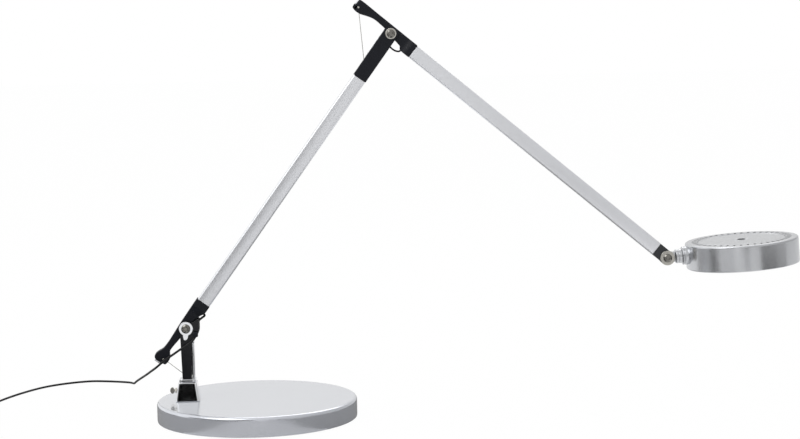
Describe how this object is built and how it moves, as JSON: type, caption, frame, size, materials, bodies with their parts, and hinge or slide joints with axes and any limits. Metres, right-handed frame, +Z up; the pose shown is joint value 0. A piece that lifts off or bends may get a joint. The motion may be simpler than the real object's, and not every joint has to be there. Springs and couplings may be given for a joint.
{
  "type": "swing arm desk lamp",
  "caption": "Balanced-arm desk lamp: weighted round base, swivelling post, hinged square-tube arms with sprung tension wires, and a flat round vented light head.",
  "frame": {"origin": "centre of the round base's underside, on the surface that the lamp stands on", "axes": "+X from the base towards the lamp head along the arms, +Z up, +Y to the left of that direction"},
  "size_m": [0.9939, 0.3704, 0.4785],
  "materials": {
    "silver_lacquer": "satin silver metallic lacquer with a clear coat",
    "satin_aluminium": "fine satin anodised aluminium",
    "head_silver": "silver metallic lacquer, fine flake",
    "chrome": "polished",
    "nickel_steel": "bright nickel-plated steel",
    "cast_iron": "as cast, painted grey",
    "black_plastic": "black, lightly textured",
    "gloss_black": "gloss black enamel",
    "dark_grey": "dark grey satin",
    "cord_black": "smooth black PVC",
    "pad_rubber": "matt",
    "nylon": "natural nylon",
    "opal": "opal diffusing sheet",
    "board_white": "white solder mask"
  },
  "bodies": {
    "base": {"base_cover": "silver_lacquer", "base_weight": "cast_iron", "base_pad": "pad_rubber", "socket_bolt": "nickel_steel", "socket": "chrome", "thumb_screw_nut": "nickel_steel", "power_cord": "cord_black", "cord_coil": "cord_black", "power_adapter": "black_plastic"},
    "thumb_screw": {"thumb_screw": "nickel_steel"},
    "post": {"post_spigot": "nickel_steel", "post_collar": "chrome", "post_web": "chrome", "post_front_cover": "gloss_black", "post_back_cover": "gloss_black", "lower_wire_anchor": "nickel_steel", "lower_pivot_tab_washer": "chrome", "lower_pivot_bolt": "nickel_steel", "lower_friction_washer_front": "nylon", "lower_friction_washer_back": "nylon", "lower_pivot_nut": "nickel_steel", "cord_clip": "black_plastic"},
    "lower_arm": {"lower_foot": "black_plastic", "lower_tail_cap": "satin_aluminium", "lower_tail_pin": "nickel_steel", "lower_tube": "satin_aluminium", "lower_spring": "nickel_steel", "lower_spring_anchor": "nylon", "lower_head": "black_plastic", "elbow_edge_strip": "chrome", "upper_wire_anchor": "nickel_steel", "elbow_washer": "nickel_steel", "elbow_bolt": "nickel_steel", "elbow_friction_washer_front": "nylon", "elbow_friction_washer_back": "nylon", "elbow_nut": "nickel_steel", "lower_wire": "nickel_steel", "pivot_lead": "cord_black"},
    "upper_arm": {"upper_rear": "black_plastic", "upper_tail_cap": "satin_aluminium", "upper_tail_pin": "nickel_steel", "upper_tube": "satin_aluminium", "upper_spring": "nickel_steel", "upper_spring_anchor": "nylon", "upper_fork": "dark_grey", "head_pivot_washer": "nickel_steel", "head_pivot_screw": "nickel_steel", "head_pivot_nut": "nickel_steel", "upper_wire": "nickel_steel", "elbow_lead": "cord_black"},
    "neck": {"head_neck": "head_silver"},
    "head": {"head_housing": "head_silver", "head_collar": "head_silver", "head_cap": "head_silver", "heat_sink": "satin_aluminium", "led_board": "board_white", "reflector": "nylon", "diffuser": "opal", "bezel": "head_silver"},
    "button": {"push_button": "dark_grey"}
  },
  "joints": [
    {"name": "thumb_screw_turn", "type": "hinge", "parent": "base", "child": "thumb_screw", "pos_m": [-0.097, 0, 0.0343], "axis": [1, 0, 0], "range_deg": [-180, 180]},
    {"name": "post_swivel", "type": "hinge", "parent": "base", "child": "post", "pos_m": [-0.079, 0, 0.05], "axis": [0, 0, 1], "range_deg": [-90, 90], "deforming": ["power_cord"]},
    {"name": "lower_arm_tilt", "type": "hinge", "parent": "post", "child": "lower_arm", "pos_m": [-0.079, 0, 0.107], "axis": [0, 1, 0], "range_deg": [-36, 12], "deforming": ["lower_wire", "pivot_lead"]},
    {"name": "elbow_fold", "type": "hinge", "parent": "lower_arm", "child": "upper_arm", "pos_m": [0.16257, 0, 0.43828], "axis": [0, 1, 0], "range_deg": [-64, 20], "deforming": ["upper_wire", "elbow_lead"]},
    {"name": "head_tilt", "type": "hinge", "parent": "upper_arm", "child": "neck", "pos_m": [0.47619, 0, 0.17419], "axis": [0, 1, 0], "range_deg": [-50, 90]},
    {"name": "head_twist", "type": "hinge", "parent": "neck", "child": "head", "pos_m": [0.47619, 0, 0.17419], "axis": [0.9976, 0, 0.0698], "range_deg": [-90, 90]},
    {"name": "button_press", "type": "slide", "parent": "head", "child": "button", "axis": [0.0698, 0, -0.9976], "range_m": [0, 0.0008], "stiffness_N_per_m": 400}
  ]
}
